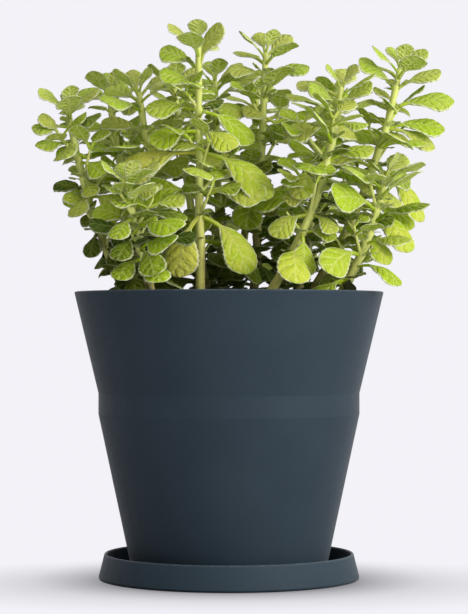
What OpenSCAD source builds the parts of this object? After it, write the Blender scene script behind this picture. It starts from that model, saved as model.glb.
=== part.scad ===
// Planted pot on a saucer: a tapered pot with an upright band, its saucer,
// the potting soil, and leafy stems that root in the soil.

/* [Pot] */
// Outside diameter over the rim
rim_d = 200; // [180:1:240]
// Height from the foot to the rim
pot_h = 183; // [160:1:230]
// Outside diameter of the upright band
band_d = 169; // [150:0.5:176]
// Height of the band's lower edge above the foot
band_z = 104; // [70:1:130]
// Height of the upright band
band_h = 13.5; // [6:0.5:22]
// Outside diameter of the foot
foot_d = 124.5; // [104:0.5:140]
// Thickness of the wall
wall_t = 2.4; // [1.6:0.1:3.6]
// Thickness of the floor
floor_t = 3; // [2:0.1:5]
// Radius on the rim's outer edge
rim_round = 0.8; // [0.3:0.1:1]

/* [Drainage] */
// Height of the foot ring under the floor
foot_h = 4; // [2.5:0.1:8]
// Width of the foot ring
foot_w = 7; // [4:0.5:9]
// Notches that let water out under the foot ring
notch_count = 6; // [3:1:10]
// Width of each notch
notch_w = 9; // [5:0.5:14]
// Depth of each notch
notch_d = 1.8; // [1:0.1:2.2]
// Diameter of each drain hole
drain_d = 10; // [6:0.5:14]
// Drain holes round the middle one
drain_count = 6; // [3:1:8]
// Diameter of the circle that the drain holes lie on
drain_circle_d = 76; // [50:1:84]

/* [Saucer] */
// Outside diameter at the base
saucer_d = 168.5; // [160:0.5:200]
// Outside diameter over the rim
saucer_rim_d = 161.5; // [150:0.5:190]
// Height from the base to the rim
saucer_h = 16.4; // [12:0.1:24]
// Thickness of the saucer's wall
saucer_wall_t = 1.8; // [1.2:0.1:3]
// Thickness of the saucer's floor
saucer_floor_t = 2.4; // [1.6:0.1:4]
// Radius on the saucer's base edge
saucer_round = 1.6; // [0.5:0.1:2]
// Height of the ring that centres the foot
ring_h = 1.6; // [0.8:0.1:3]
// Width of that ring
ring_w = 2; // [1.2:0.1:3]
// Gap between the foot and that ring
ring_gap = 1.2; // [0.5:0.1:2]

/* [Soil] */
// Depth of the soil's surface below the rim
soil_drop = 20; // [12:1:36]
// Gap between the soil and the pot's wall
soil_gap = 0.5; // [0.3:0.1:1]

/* [Plant] */
// Height of the tallest stem above the soil
stem_rise = 184; // [130:1:240]
// Diameter of the circle that the stem tips reach
stem_spread = 240; // [190:1:280]
// Thickness of a stem where it leaves the soil
stem_d = 6; // [4:0.1:7]
// Thickness of a stem at its tip
stem_tip_d = 3.6; // [2:0.1:4]
// Length of a full leaf with its stalk
leaf_l = 46; // [34:1:56]
// Width of a full leaf
leaf_w = 21; // [14:0.5:26]
// Depth of a full leaf's midrib
leaf_t = 1.6; // [1:0.1:2.4]
// Pairs of leaves below the tip of each stem
pair_count = 9; // [5:1:10]
// Length of a side shoot
side_l = 22; // [12:1:28]
// Thickness of a side shoot
side_d = 2.4; // [1.6:0.1:3]
// Room between the leaves of different stems
leaf_gap = 6; // [6:0.5:10]
// Room between the leaves of one stem
own_gap = 3.5; // [1:0.5:6]
// Room between a leaf and the stems of others
stem_gap = 2.5; // [2.5:0.5:8]
// Free space between a leaf and the soil or the rim
leaf_lift = 2; // [1:0.5:5]

/* [Hidden] */
stem_count = 16;

cut = 1;
round_steps = 5;
round_fn = 180;
pot_z = saucer_floor_t;
rim_z = pot_z + pot_h;
soil_z = rim_z - soil_drop;
pot_colour = [0.2, 0.27, 0.31];
soil_colour = [0.16, 0.12, 0.09];
stem_colour = [0.63, 0.68, 0.3];
leaf_colour = [0.5, 0.62, 0.24];

// Pot

// Radius of the pot's outside at height z above its foot.
function pot_r(z) =
    z < band_z ? foot_d / 2 + (band_d - foot_d) / 2 * z / band_z
    : z < band_z + band_h ? band_d / 2
    : band_d / 2 + (rim_d - band_d) / 2 * (z - band_z - band_h) / (pot_h - band_z - band_h);

// Quarter turn of points about c, from angle a0 to a1.
function arc(c, r, a0, a1) =
    [for (i = [0:round_steps]) let (a = a0 + (a1 - a0) * i / round_steps) c + r * [cos(a), sin(a)]];

// Inside outline of the pot from its floor to height top_z, drawn in by gap.
function inside_line(top_z, gap) = [
    [pot_r(foot_h + floor_t) - wall_t - gap, foot_h + floor_t],
    [pot_r(band_z) - wall_t - gap, band_z],
    [pot_r(band_z) - wall_t - gap, band_z + band_h],
    [pot_r(top_z) - wall_t - gap, top_z]];

module pot_shell() {
    rim_in = rim_d / 2 - wall_t;
    rotate_extrude($fn = round_fn)
        polygon(concat(
            [[0, foot_h], [foot_d / 2 - foot_w, foot_h], [foot_d / 2 - foot_w, 0], [foot_d / 2, 0]],
            [[pot_r(band_z), band_z], [band_d / 2, band_z + band_h]],
            arc([rim_d / 2 - rim_round, pot_h - rim_round], rim_round, 0, 90),
            arc([rim_in + rim_round, pot_h - rim_round], rim_round, 90, 180),
            [for (i = [2:-1:0]) inside_line(pot_h, 0)[i]],
            [[0, foot_h + floor_t]]));
}

module drain_holes() {
    translate([0, 0, foot_h - cut])
        cylinder(d = drain_d, h = floor_t + 2 * cut, $fn = 48);
    for (i = [0:drain_count - 1])
        rotate(360 * i / drain_count)
            translate([drain_circle_d / 2, 0, foot_h - cut])
                cylinder(d = drain_d, h = floor_t + 2 * cut, $fn = 48);
}

module foot_notches() {
    for (i = [0:notch_count - 1])
        rotate(360 * (i + 0.5) / notch_count)
            translate([foot_d / 2 - foot_w - cut, -notch_w / 2, -cut])
                cube([foot_w + 2 * cut, notch_w, notch_d + cut]);
}

module pot() {
    color(pot_colour)
        translate([0, 0, pot_z])
            difference() {
                pot_shell();
                drain_holes();
                foot_notches();
            }
}

// Saucer

module saucer() {
    base_r = saucer_d / 2;
    rim_r = saucer_rim_d / 2;
    lean = (base_r - rim_r) / saucer_h;
    top_r = saucer_wall_t / 2;
    ring_r = foot_d / 2 + ring_gap;
    color(pot_colour)
        rotate_extrude($fn = round_fn)
            polygon(concat(
                [[0, 0]],
                arc([base_r - saucer_round, saucer_round], saucer_round, -90, 0),
                arc([rim_r - top_r, saucer_h - top_r], top_r, 0, 180),
                [[base_r - lean * saucer_floor_t - saucer_wall_t, saucer_floor_t]],
                [[ring_r + ring_w, saucer_floor_t], [ring_r + ring_w * 3 / 4, saucer_floor_t + ring_h]],
                [[ring_r + ring_w / 4, saucer_floor_t + ring_h], [ring_r, saucer_floor_t]],
                [[0, saucer_floor_t]]));
}

// Soil

soil_r = inside_line(pot_h - soil_drop, soil_gap)[3][0];

module soil() {
    color(soil_colour)
        translate([0, 0, pot_z])
            rotate_extrude($fn = round_fn)
                polygon(concat(
                    [[0, foot_h + floor_t]],
                    inside_line(pot_h - soil_drop, soil_gap),
                    [[0, pot_h - soil_drop]]));
}

// Stems

// Where each stem leaves the soil as shares of the soil's radius, where its tip
// stands as shares of the spread's radius and the rise, how far out it bends on
// the way as a share, the turn of its first leaves as a share of a right angle,
// and the share of the stem below its first leaves.
stem_shares = [
    [-0.60, -0.14, -0.86, -0.14,  0.74,  0.70,  0.10,  0.30],
    [-0.52,  0.16, -0.66,  0.22,  0.82,  0.60,  0.45,  0.20],
    [-0.19, -0.45, -0.16, -0.36,  0.95,  0.50,  0.04,  0.34],
    [ 0.16,  0.04,  0.20,  0.12,  0.96,  0.60,  0.30,  0.26],
    [ 0.13, -0.42,  0.59, -0.40,  0.80,  0.80,  0.92,  0.34],
    [ 0.42, -0.06,  0.92, -0.08,  0.89,  0.72,  0.12,  0.34],
    [-0.33,  0.30, -0.48, -0.18,  0.80,  0.50,  0.60,  0.20],
    [ 0.44,  0.26,  0.56,  0.26,  0.80,  0.50,  0.75,  0.20],
    [-0.46, -0.52, -0.52, -0.56,  0.46,  0.60,  0.35,  0.34],
    [ 0.62, -0.30,  0.82, -0.34,  0.50,  0.75,  0.55,  0.34],
    [-0.40,  0.62, -0.56,  0.72,  0.66,  0.60,  0.20,  0.16],
    [ 0.02,  0.66,  0.16,  0.80,  0.84,  0.60,  0.50,  0.16],
    [ 0.42,  0.62,  0.60,  0.72,  0.80,  0.60,  0.80,  0.16],
    [-0.04,  0.30, -0.08,  0.42,  0.88,  0.50,  0.15,  0.16],
    [-0.44,  0.40, -0.58,  0.42,  0.62,  0.60,  0.65,  0.20],
    [-0.10,  0.08, -0.30,  0.10,  0.84,  0.60,  0.30,  0.20]];
bend_rise_share = 0.40;
stem_steps = 9;
stem_sides = 6;
side_sides = 5;

// Pairs sit a little closer towards the tip.
last_pair_share = 0.93;
pair_crowding_share = 0.9;
tip_pair_shares = [0.965, 0.985, 1];
turn_noise_angle = 24;

function noise(k, i) = let (v = sin(k * 137.5 + i * 71.3 + 11) * 4375.85) v - floor(v);
function either_way(k, i) = noise(k, i) - 0.5;
function spread_of(share) = share * stem_spread / 2;
function stem_base(k) = [stem_shares[k][0] * soil_r, stem_shares[k][1] * soil_r, soil_z];
function stem_tip(k) = [
    spread_of(stem_shares[k][2]), spread_of(stem_shares[k][3]), soil_z + stem_shares[k][4] * stem_rise];
function stem_bend(k) =
    let (b = stem_base(k), e = stem_tip(k), out = stem_shares[k][5])
    [b[0] + (e[0] - b[0]) * out, b[1] + (e[1] - b[1]) * out, b[2] + (e[2] - b[2]) * bend_rise_share];
function stem_point(k, t) =
    (1 - t) ^ 2 * stem_base(k) + 2 * t * (1 - t) * stem_bend(k) + t ^ 2 * stem_tip(k);
function stem_way(k, t) =
    t == 0 ? [0, 0, 1] : (1 - t) * (stem_bend(k) - stem_base(k)) + t * (stem_tip(k) - stem_bend(k));
function stem_r(t) = (stem_d + (stem_tip_d - stem_d) * t) / 2;

function unit(v) = v / norm(v);
function heading(a) = [cos(a), sin(a), 0];

// A ring of points about p, square to the way the stem runs.
function ring(p, way, r, sides) =
    let (n = unit(way), e1 = unit(cross([0, 1, 0], n)), e2 = cross(n, e1))
    [for (i = [0:sides - 1]) p + r * (cos(360 * i / sides) * e1 + sin(360 * i / sides) * e2)];

// Closed skin through rings of the same number of points.
module skin(rings) {
    sides = len(rings[0]);
    last = len(rings) - 1;
    points = [for (r = rings) each r];
    walls = [for (i = [0:last - 1], j = [0:sides - 1])
        let (a = i * sides + j, b = i * sides + (j + 1) % sides)
        each [[a, a + sides, b], [b, a + sides, b + sides]]];
    low = [for (j = [0:sides - 1]) j];
    high = [for (j = [sides - 1:-1:0]) last * sides + j];
    polyhedron(points, concat(walls, [low, high]), convexity = 8);
}

// Side shoots stand in the leaf axils, one on each pair but the lowest and the top two.
side_pairs = [1:1:pair_count - 3];
side_angle = 52;
side_pair_shares = [0.72, 1];

function pair_share(k, i) =
    let (first = stem_shares[k][7])
    first + (last_pair_share - first) * (i / (pair_count - 1)) ^ pair_crowding_share;
function pair_turn(k, i) = 90 * (stem_shares[k][6] + i) + turn_noise_angle * either_way(k, i);
function side_root(k, i) = stem_point(k, pair_share(k, i));
function side_turn(k, i) = pair_turn(k, i) + (noise(k, i + 40) < 0.5 ? 0 : 180) + 20;
function side_length(k, i) = side_l * (0.7 + 0.6 * noise(k, i + 20));
function side_way(k, i) = cos(side_angle) * heading(side_turn(k, i)) + sin(side_angle) * [0, 0, 1];
function side_point(k, i, t) = side_root(k, i) + t * side_length(k, i) * side_way(k, i);

module stem(k) {
    color(stem_colour)
        union() {
            skin([for (i = [0:stem_steps])
                let (t = i / stem_steps) ring(stem_point(k, t), stem_way(k, t), stem_r(t), stem_sides)]);
            for (i = side_pairs)
                skin([for (t = [0, 0.5, 1])
                    ring(side_point(k, i, t), side_way(k, i), side_d / 2 * (1 - 0.4 * t), side_sides)]);
        }
}

// Leaves

// Leaves that stand where they were seen: the stem, the pair and which of the two,
// then how far the tip lies from the root to the right, back and up, as shares of a full leaf.
posed_leaf_shares = [
    [3, 1, 0, -0.24, -0.30, -0.84], [3, 1, 1,  0.62, -0.20, -0.80], [3, 4, 0, -1.05, -0.10, -0.38],
    [3, 4, 1,  0.94, -0.15, -0.64], [3, 5, 0, -0.62, -0.20, -0.20], [3, 5, 1,  0.44, -0.40, -0.28],
    [3, 6, 0, -0.70, -0.10, -0.02], [3, 6, 1,  0.72,  0.10, -0.44], [3, 7, 0, -0.52, -0.10,  0.20],
    [3, 7, 1, -0.10, -0.50,  0.02], [3, 8, 0, -0.52,  0.10,  0.25], [3, 8, 1,  0.30, -0.05,  0.60],
    [5, 1, 0,  0.02, -0.30, -0.62], [5, 2, 0, -0.46, -0.20, -0.32], [5, 2, 1,  0.48, -0.25, -0.42],
    [5, 3, 0, -0.78, -0.10, -0.14], [5, 5, 0, -0.44, -0.15, -0.60], [5, 5, 1,  0.62, -0.10,  0.14],
    [5, 7, 0, -0.62, -0.10, -0.16], [5, 7, 1,  0.38, -0.25, -0.05], [5, 8, 0, -0.40, -0.05,  0.28],
    [5, 8, 1,  0.44, -0.05,  0.32], [6, 1, 0,  0.50, -0.30, -0.56], [6, 2, 0,  0.68, -0.30, -0.66],
    [6, 3, 1,  0.40, -0.40, -0.32], [6, 4, 0,  0.68,  0.05, -0.76], [6, 5, 0,  0.62, -0.30,  0.02],
    [6, 6, 0,  0.90,  0.10, -0.36], [6, 7, 0,  0.88,  0.05,  0.12], [6, 8, 0, -0.50, -0.05,  0.42],
    [6, 8, 1,  0.62, -0.05,  0.24], [2, 5, 0, -0.74, -0.40, -0.44], [2, 6, 1, -0.50, -0.40, -0.05],
    [2, 8, 0,  0.40, -0.35,  0.05], [4, 3, 1, -0.20, -0.52, -0.58], [4, 8, 0,  0.62,  0.00,  0.10],
    [4, 8, 1, -0.50,  0.00,  0.08], [7, 8, 0, -0.45, -0.30,  0.10], [9, 2, 0, -0.30, -0.35, -0.28],
    [9, 3, 1,  0.20, -0.50, -0.36], [9, 4, 1, -0.25, -0.35, -0.30], [9, 6, 0, -0.22, -0.35, -0.30],
    [9, 8, 0,  0.34, -0.25,  0.05], [9, 8, 1, -0.32, -0.25,  0.12], [1, 0, 0,  0.20,  0.45, -0.10],
    [1, 0, 1,  0.25, -0.45, -0.15], [1, 1, 0,  0.10,  0.50, -0.10], [1, 1, 1,  0.24, -0.42, -0.40],
    [1, 2, 0, -0.10, -0.20, -0.38], [1, 2, 1,  0.40, -0.35, -0.20], [1, 3, 0,  0.20, -0.45, -0.25],
    [1, 3, 1, -0.10,  0.45, -0.10], [1, 4, 0,  0.45, -0.35, -0.20], [1, 4, 1, -0.15, -0.40, -0.30],
    [1, 5, 0,  0.10,  0.50, -0.10], [1, 5, 1,  0.14, -0.30, -0.28], [1, 6, 0,  0.34, -0.35, -0.20],
    [1, 6, 1, -0.20,  0.40,  0.10], [1, 7, 0, -0.50, -0.22, -0.04], [1, 7, 1, -0.14, -0.56, -0.24],
    [1, 8, 0,  0.38, -0.30,  0.10], [1, 8, 1, -0.52, -0.10, -0.04], [10, 0, 0,  0.05, -0.40, -0.40]];

// Along a leaf: the share of its length, of its half width and of its depth.
leaf_station_shares = [
    [0, 0.09, 0.7], [0.25, 0.10, 0.7], [0.48, 0.70, 1], [0.72, 1, 0.9], [0.90, 0.76, 0.6]];
small_station_shares = [[0, 0.12, 0.7], [0.5, 0.80, 1], [0.82, 0.97, 0.7]];
small_size_share = 0.5;

// How a leaf leaves its stem and how far it bends down to its tip, in degrees, from the
// lowest pair to the highest, and how far blades turn their faces outwards and to the light.
pair_rise_angles = [6, 40];
pair_hang_angles = [68, 36];
pair_size_shares = [1, 0.78];
tip_rise_angles = [34, 54, 72];
tip_hang_angle = 24;
tip_size_shares = [0.68, 0.54, 0.38];
side_rise_angles = [26, 52];
side_hang_angle = 24;
side_size_shares = [0.46, 0.36];
rise_noise_angle = 24;
hang_noise_angle = 30;
roll_noise_angle = 40;
lean_angle = 48;
light_shares = [0.15, -0.9];

function between(ends, h) = ends[0] + (ends[1] - ends[0]) * h;

// Out and up, as shares of a length whose slope goes evenly from rise0 to rise1.
function droop(rise0, rise1, s) =
    let (turn = rise1 - rise0)
    abs(turn) < 1 ? s * [cos(rise0), sin(rise0)]
    : 180 / (PI * turn) * [sin(rise0 + turn * s) - sin(rise0), cos(rise0) - cos(rise0 + turn * s)];

// A leaf is [root, turn, rise0, rise1, roll, size].
function half_width(f) = leaf_w / 2 * f[5] ^ 0.6;
function leaf_middle(f, s) =
    let (d = droop(f[2], f[3], s)) f[0] + f[5] * leaf_l * (d[0] * heading(f[1]) + d[1] * [0, 0, 1]);
function leaf_up(f, s) =
    let (a = f[2] + (f[3] - f[2]) * s) cos(a) * [0, 0, 1] - sin(a) * heading(f[1]);
function leaf_side(f, s) = cos(f[4]) * heading(f[1] + 90) + sin(f[4]) * leaf_up(f, s);
function leaf_under(f, s) = sin(f[4]) * heading(f[1] + 90) - cos(f[4]) * leaf_up(f, s);
function leaf_place(f, place) =
    leaf_middle(f, place[0]) + place[1] * half_width(f) * leaf_side(f, place[0]);

function leaf_ring(f, station) =
    let (s = station[0], m = leaf_middle(f, s), w = half_width(f) * station[1] * leaf_side(f, s))
    [m + w, m + f[5] * leaf_t * station[2] * leaf_under(f, s), m - w];

module leaf(f) {
    stations = f[5] > small_size_share ? leaf_station_shares : small_station_shares;
    rings = [for (station = stations) leaf_ring(f, station)];
    last = len(rings) - 1;
    tip = 3 * len(rings);
    points = concat([for (r = rings) each r], [leaf_middle(f, 1)]);
    walls = [for (i = [0:last - 1], j = [0:2])
        let (a = i * 3 + j, b = i * 3 + (j + 1) % 3)
        each [[a, b, a + 3], [b, b + 3, a + 3]]];
    ends = concat([[2, 1, 0]], [for (j = [0:2]) [last * 3 + j, last * 3 + (j + 1) % 3, tip]]);
    polyhedron(points, concat(walls, ends), convexity = 4);
}

// Where a leaf is measured: shares of its length and of its half width, first those on
// its blade, the middle one among them, and then those on its stalk.
place_shares = [
    [1, 0], [0.75, 1], [0.75, -1], [0.5, 0.7], [0.5, -0.7], [0.92, 0.7], [0.92, -0.7], [0.62, 0], [0.8, 0],
    [0.25, 0], [0.45, 0]];
middle_place = 7;
blade_places = [0:1:8];
all_places = [0:1:10];
near_share = 0.92;
function leaf_places(f) = [for (place = place_shares) leaf_place(f, place)];

// How a leaf is tried until it has room: the share of its size, and its turn and rise.
trial_shares = [
    [1, 0, 0], [1, 12, 0], [1, -12, 0], [0.88, 0, 0], [0.88, 12, 8], [0.88, -12, 8],
    [0.76, 0, 0], [0.64, 0, 0], [0.52, 0, 0], [0.42, 0, 0]];
function tried(f, trial) =
    [f[0], f[1] + trial[1], f[2] + trial[2], f[3] + trial[2], f[4], f[5] * trial[0]];

function lean(p, turn, most) =
    let (r = [p[0], p[1], 0] / (stem_spread / 2) + [light_shares[0], light_shares[1], 0])
    -most * (heading(turn + 90) * r) / max(1, norm(r));
function leaf_root(k, t, turn) = stem_point(k, t) + 0.4 * stem_r(t) * heading(turn);

// Low pairs hang and high pairs rise. h is a pair's share of the way up.
function pair_h(i) = i / (pair_count - 1);
function posed_leaf(k, i, row) =
    let (t = pair_share(k, i), turn = atan2(row[4], row[3]), chord = atan2(row[5], norm([row[3], row[4]])),
        hang = between(pair_hang_angles, pair_h(i)),
        size = norm([row[3], row[4], row[5]]) * (PI * hang / 360) / sin(hang / 2))
    [leaf_root(k, t, turn), turn, chord + hang / 2, chord - hang / 2,
        lean(stem_point(k, t), turn, lean_angle), size];
function free_leaf(k, i, side) =
    let (t = pair_share(k, i), h = pair_h(i), n = 100 * side + 10 * i,
        turn = pair_turn(k, i) + 180 * side + 16 * either_way(k, n + 1),
        rise = between(pair_rise_angles, h) + rise_noise_angle * either_way(k, n + 2),
        hang = between(pair_hang_angles, h) - hang_noise_angle * either_way(k, n + 3),
        roll = lean(stem_point(k, t), turn, lean_angle) + roll_noise_angle * either_way(k, n + 4),
        size = between(pair_size_shares, h) * (0.84 + 0.28 * noise(k, n + 5)))
    [leaf_root(k, t, turn), turn, rise, rise - hang, roll, size];
function tip_leaf(k, i, side) =
    let (t = tip_pair_shares[i],
        turn = 90 * (stem_shares[k][6] + pair_count + i) + 180 * side + 30 * either_way(k, 60 + i))
    [leaf_root(k, t, turn), turn, tip_rise_angles[i], tip_rise_angles[i] - tip_hang_angle,
        lean(stem_point(k, t), turn, 0.6 * lean_angle), tip_size_shares[i]];
function side_leaf(k, i, j, side) =
    let (p = side_point(k, i, side_pair_shares[j]),
        turn = side_turn(k, i) + 90 * j + 180 * side + 40,
        size = side_size_shares[j] + 0.14 * noise(k, i * 7 + j))
    [p + 0.2 * side_d * heading(turn), turn, side_rise_angles[j], side_rise_angles[j] - side_hang_angle,
        lean(p, turn, 0.8 * lean_angle), size];

// Every leaf that may grow is [leaf, stem, rank, whether it is posed, its places]. It keeps
// clear of those with a higher rank: posed leaves first, then tips, pairs and side shoots.
function wish(f, k, rank, is_posed) = [f, k, rank, is_posed, leaf_places(f)];
posed_rows = [for (row = posed_leaf_shares) if (row[1] < pair_count) row];
posed_keys = [for (row = posed_rows) [row[0] - 1, row[1], row[2]]];
wishes = [
    for (n = [0:len(posed_rows) - 1]) let (row = posed_rows[n], k = row[0] - 1)
        wish(posed_leaf(k, row[1], row), k, 4 - n / 100, true),
    for (k = [0:stem_count - 1], i = [0:pair_count - 1], side = [0, 1])
        if (len([for (key = posed_keys) if (key == [k, i, side]) key]) == 0)
            wish(free_leaf(k, i, side), k, 1 + noise(k, 7 * i + side + 300), false),
    for (k = [0:stem_count - 1], i = [0:len(tip_pair_shares) - 1], side = [0, 1])
        wish(tip_leaf(k, i, side), k, 2 + noise(k, 400 + 2 * i + side), false),
    for (k = [0:stem_count - 1], i = side_pairs, j = [0, 1], side = [0, 1])
        wish(side_leaf(k, i, j, side), k, noise(k, i * 11 + j * 5 + side + 500), false)];

// Points on a stem and its side shoots
track_steps = 12;
function track(k) = concat(
    [for (i = [0:track_steps]) stem_point(k, i / track_steps)],
    [for (i = side_pairs, t = [0.5, 1]) side_point(k, i, t)]);
tracks = [for (k = [0:stem_count - 1]) track(k)];

function off_pot(p) =
    p[2] > rim_z + leaf_lift || (p[2] > soil_z + leaf_lift && norm([p[0], p[1]]) < soil_r - leaf_lift);
function all_off_pot(places) = len([for (i = blade_places) if (!off_pot(places[i])) i]) == 0;
function apart(places, which, points, gap) =
    len(points) == 0 || min([for (i = which, q = points) norm(places[i] - q)]) > gap;

// The leaf at the first trial that has room, or none.
function grown(w, stems_near, others_near, own_near, i = 0) =
    i == len(trial_shares) ? []
    : let (trial = trial_shares[i], f = tried(w[0], trial), places = leaf_places(f))
    !(w[3] && (trial[1] != 0 || trial[2] != 0))
        && all_off_pot(places)
        && apart(places, all_places, stems_near, stem_d + stem_gap)
        && apart(places, all_places, others_near, leaf_gap)
        && apart(places, blade_places, own_near, own_gap) ? [f]
    : grown(w, stems_near, others_near, own_near, i + 1);
function leaf_of(w) =
    let (middle = w[4][middle_place],
        ahead = [for (v = wishes)
            if (v[2] > w[2] && norm(v[4][middle_place] - middle) < near_share * leaf_l) v])
    grown(w,
        [for (j = [0:stem_count - 1]) if (j != w[1]) for (p = tracks[j]) if (norm(p - middle) < leaf_l) p],
        [for (v = ahead) if (v[1] != w[1]) each v[4]],
        [for (v = ahead) if (v[1] == w[1]) for (i = blade_places) v[4][i]]);
function leaves_of(k) = [for (w = wishes) if (w[1] == k) each leaf_of(w)];

module leaves(k) {
    color(leaf_colour)
        for (f = leaves_of(k))
            leaf(f);
}

saucer();
pot();
soil();
for (k = [0:stem_count - 1]) {
    stem(k);
    leaves(k);
}
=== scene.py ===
import math

import bpy
import numpy as np
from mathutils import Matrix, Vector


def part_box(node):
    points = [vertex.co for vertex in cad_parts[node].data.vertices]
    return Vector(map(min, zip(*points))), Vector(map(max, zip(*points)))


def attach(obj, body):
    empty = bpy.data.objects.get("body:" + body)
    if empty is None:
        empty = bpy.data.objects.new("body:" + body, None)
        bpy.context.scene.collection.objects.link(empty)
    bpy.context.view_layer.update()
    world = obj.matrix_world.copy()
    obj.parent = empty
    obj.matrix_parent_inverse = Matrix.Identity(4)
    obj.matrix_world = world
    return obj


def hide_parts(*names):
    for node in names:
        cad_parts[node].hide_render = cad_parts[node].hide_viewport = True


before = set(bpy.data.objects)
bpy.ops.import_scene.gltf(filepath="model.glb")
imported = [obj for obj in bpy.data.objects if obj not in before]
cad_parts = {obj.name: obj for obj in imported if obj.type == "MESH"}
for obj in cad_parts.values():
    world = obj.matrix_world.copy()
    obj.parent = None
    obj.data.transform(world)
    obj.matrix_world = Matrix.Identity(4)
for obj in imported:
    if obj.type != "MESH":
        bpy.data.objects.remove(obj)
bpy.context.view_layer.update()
mm = 0.001
print("frame loaded:", len(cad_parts), "nodes")


def addObject(name, data):
    found = bpy.data.objects.new(name, data)
    bpy.context.scene.collection.objects.link(found)
    return found


# Camera, fitted to the rim, the band and the saucer in the photograph
cameraSet = {
    "place": (0.00326, -1.4464, 0.1604),  # metres
    "pitch": 0.6,  # degrees above level
    "focalPixels": 2230,  # focal length in pixels of the photograph
    "photoHigh": 614,
    "sensor": 36,
}


def placeCamera(s):
    data = bpy.data.cameras.new("photoCamera")
    data.sensor_width = s["sensor"]
    data.lens = s["focalPixels"] * s["sensor"] / s["photoHigh"]
    camera = addObject("photoCamera", data)
    camera.location = s["place"]
    camera.rotation_euler = (math.radians(90 + s["pitch"]), 0, 0)
    bpy.context.scene.camera = camera


placeCamera(cameraSet)
print("camera placed")


# Node helpers
def startMaterial(name):
    material = bpy.data.materials.new(name)
    material.use_nodes = True
    material.node_tree.nodes.clear()
    return material, material.node_tree


def addNode(tree, kind, sockets=None, **settings):
    n = tree.nodes.new(kind)
    for key, value in settings.items():
        setattr(n, key, value)
    for key, value in (sockets or {}).items():
        if isinstance(value, bpy.types.NodeSocket):
            tree.links.new(value, n.inputs[key])
        else:
            n.inputs[key].default_value = value
    return n


def calc(tree, operation, a, b=0.0):
    return addNode(tree, "ShaderNodeMath", {0: a, 1: b}, operation=operation).outputs[0]


def times(tree, a, b):
    return calc(tree, "MULTIPLY", a, b)


def plus(tree, a, b):
    return calc(tree, "ADD", a, b)


def minus(tree, a, b):
    return calc(tree, "SUBTRACT", a, b)


def larger(tree, a, b):
    return calc(tree, "MAXIMUM", a, b)


def ramp(tree, value, low, high, toLow=0.0, toHigh=1.0, kind="SMOOTHSTEP"):
    sockets = {"Value": value, "From Min": low, "From Max": high, "To Min": toLow, "To Max": toHigh}
    return addNode(tree, "ShaderNodeMapRange", sockets, interpolation_type=kind).outputs[0]


def blend(tree, share, a, b):
    n = addNode(tree, "ShaderNodeMix", data_type="RGBA")
    for socket, value in ((n.inputs[0], share), (n.inputs[6], a), (n.inputs[7], b)):
        if isinstance(value, bpy.types.NodeSocket):
            tree.links.new(value, socket)
        else:
            socket.default_value = value if isinstance(value, float) else (*value, 1)
    return n.outputs[2]


def noiseOf(tree, where, size, detail=2.0, roughness=0.5):
    sockets = {"Vector": where, "Scale": 1 / size, "Detail": detail, "Roughness": roughness}
    return addNode(tree, "ShaderNodeTexNoise", sockets).outputs["Fac"]


def cellEdges(tree, where, size):
    sockets = {"Vector": where, "Scale": 1 / size}
    return addNode(tree, "ShaderNodeTexVoronoi", sockets, feature="DISTANCE_TO_EDGE").outputs["Distance"]


def stretch(tree, where, scale):
    return addNode(tree, "ShaderNodeMapping", {"Vector": where, "Scale": scale}).outputs[0]


def ownPlace(tree):
    return addNode(tree, "ShaderNodeTexCoord").outputs["Object"]


def partsOf(tree, vector):
    return addNode(tree, "ShaderNodeSeparateXYZ", {0: vector}).outputs


def markParts(tree, name):
    return partsOf(tree, addNode(tree, "ShaderNodeAttribute", attribute_name=name).outputs["Vector"])


def bumpOf(tree, relief, strength, deep):
    sockets = {"Strength": strength, "Distance": deep, "Height": relief}
    return addNode(tree, "ShaderNodeBump", sockets).outputs[0]


def mixShaders(tree, share, a, b):
    return addNode(tree, "ShaderNodeMixShader", {0: share, 1: a.outputs[0], 2: b.outputs[0]}).outputs[0]


def finishMaterial(tree, shader):
    tree.links.new(shader, addNode(tree, "ShaderNodeOutputMaterial").inputs["Surface"])


# Moulded plastic of the pot and the saucer: a fine blasted grain, faint flow marks, and scuffy wear with a
# painted highlight along the rim
plasticSet = {
    "colour": (0.0228, 0.0370, 0.0502),
    "pale": (0.0251, 0.0402, 0.0539),
    # pale colour of scuffs and specks, and of the painted highlight along the rim
    "scuffAndHighlight": (0.070, 0.092, 0.106),
    "roughness": 0.58,
    "specular": 0.14,
    "sheen": 0.16,
    "sheenRoughness": 0.35,
    "grainSize": 0.45 * mm,
    "scuffSize": 5 * mm,
    "flowSize": 9 * mm,
    "cloudSize": 40 * mm,  # faint lighter clouds in the colour
    "grainDeep": 0.035 * mm,
    "rimWearAndHighlight": (1.4 * mm, 0.2 * mm),  # how far below the rim the wear and the painted highlight start and are full
}
# the saucer: the pot's plastic painted lighter, as painted light
saucerPaintedLighterSet = dict(plasticSet, colour=(0.0272, 0.0446, 0.0606), pale=(0.0298, 0.0482, 0.0648))


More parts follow.
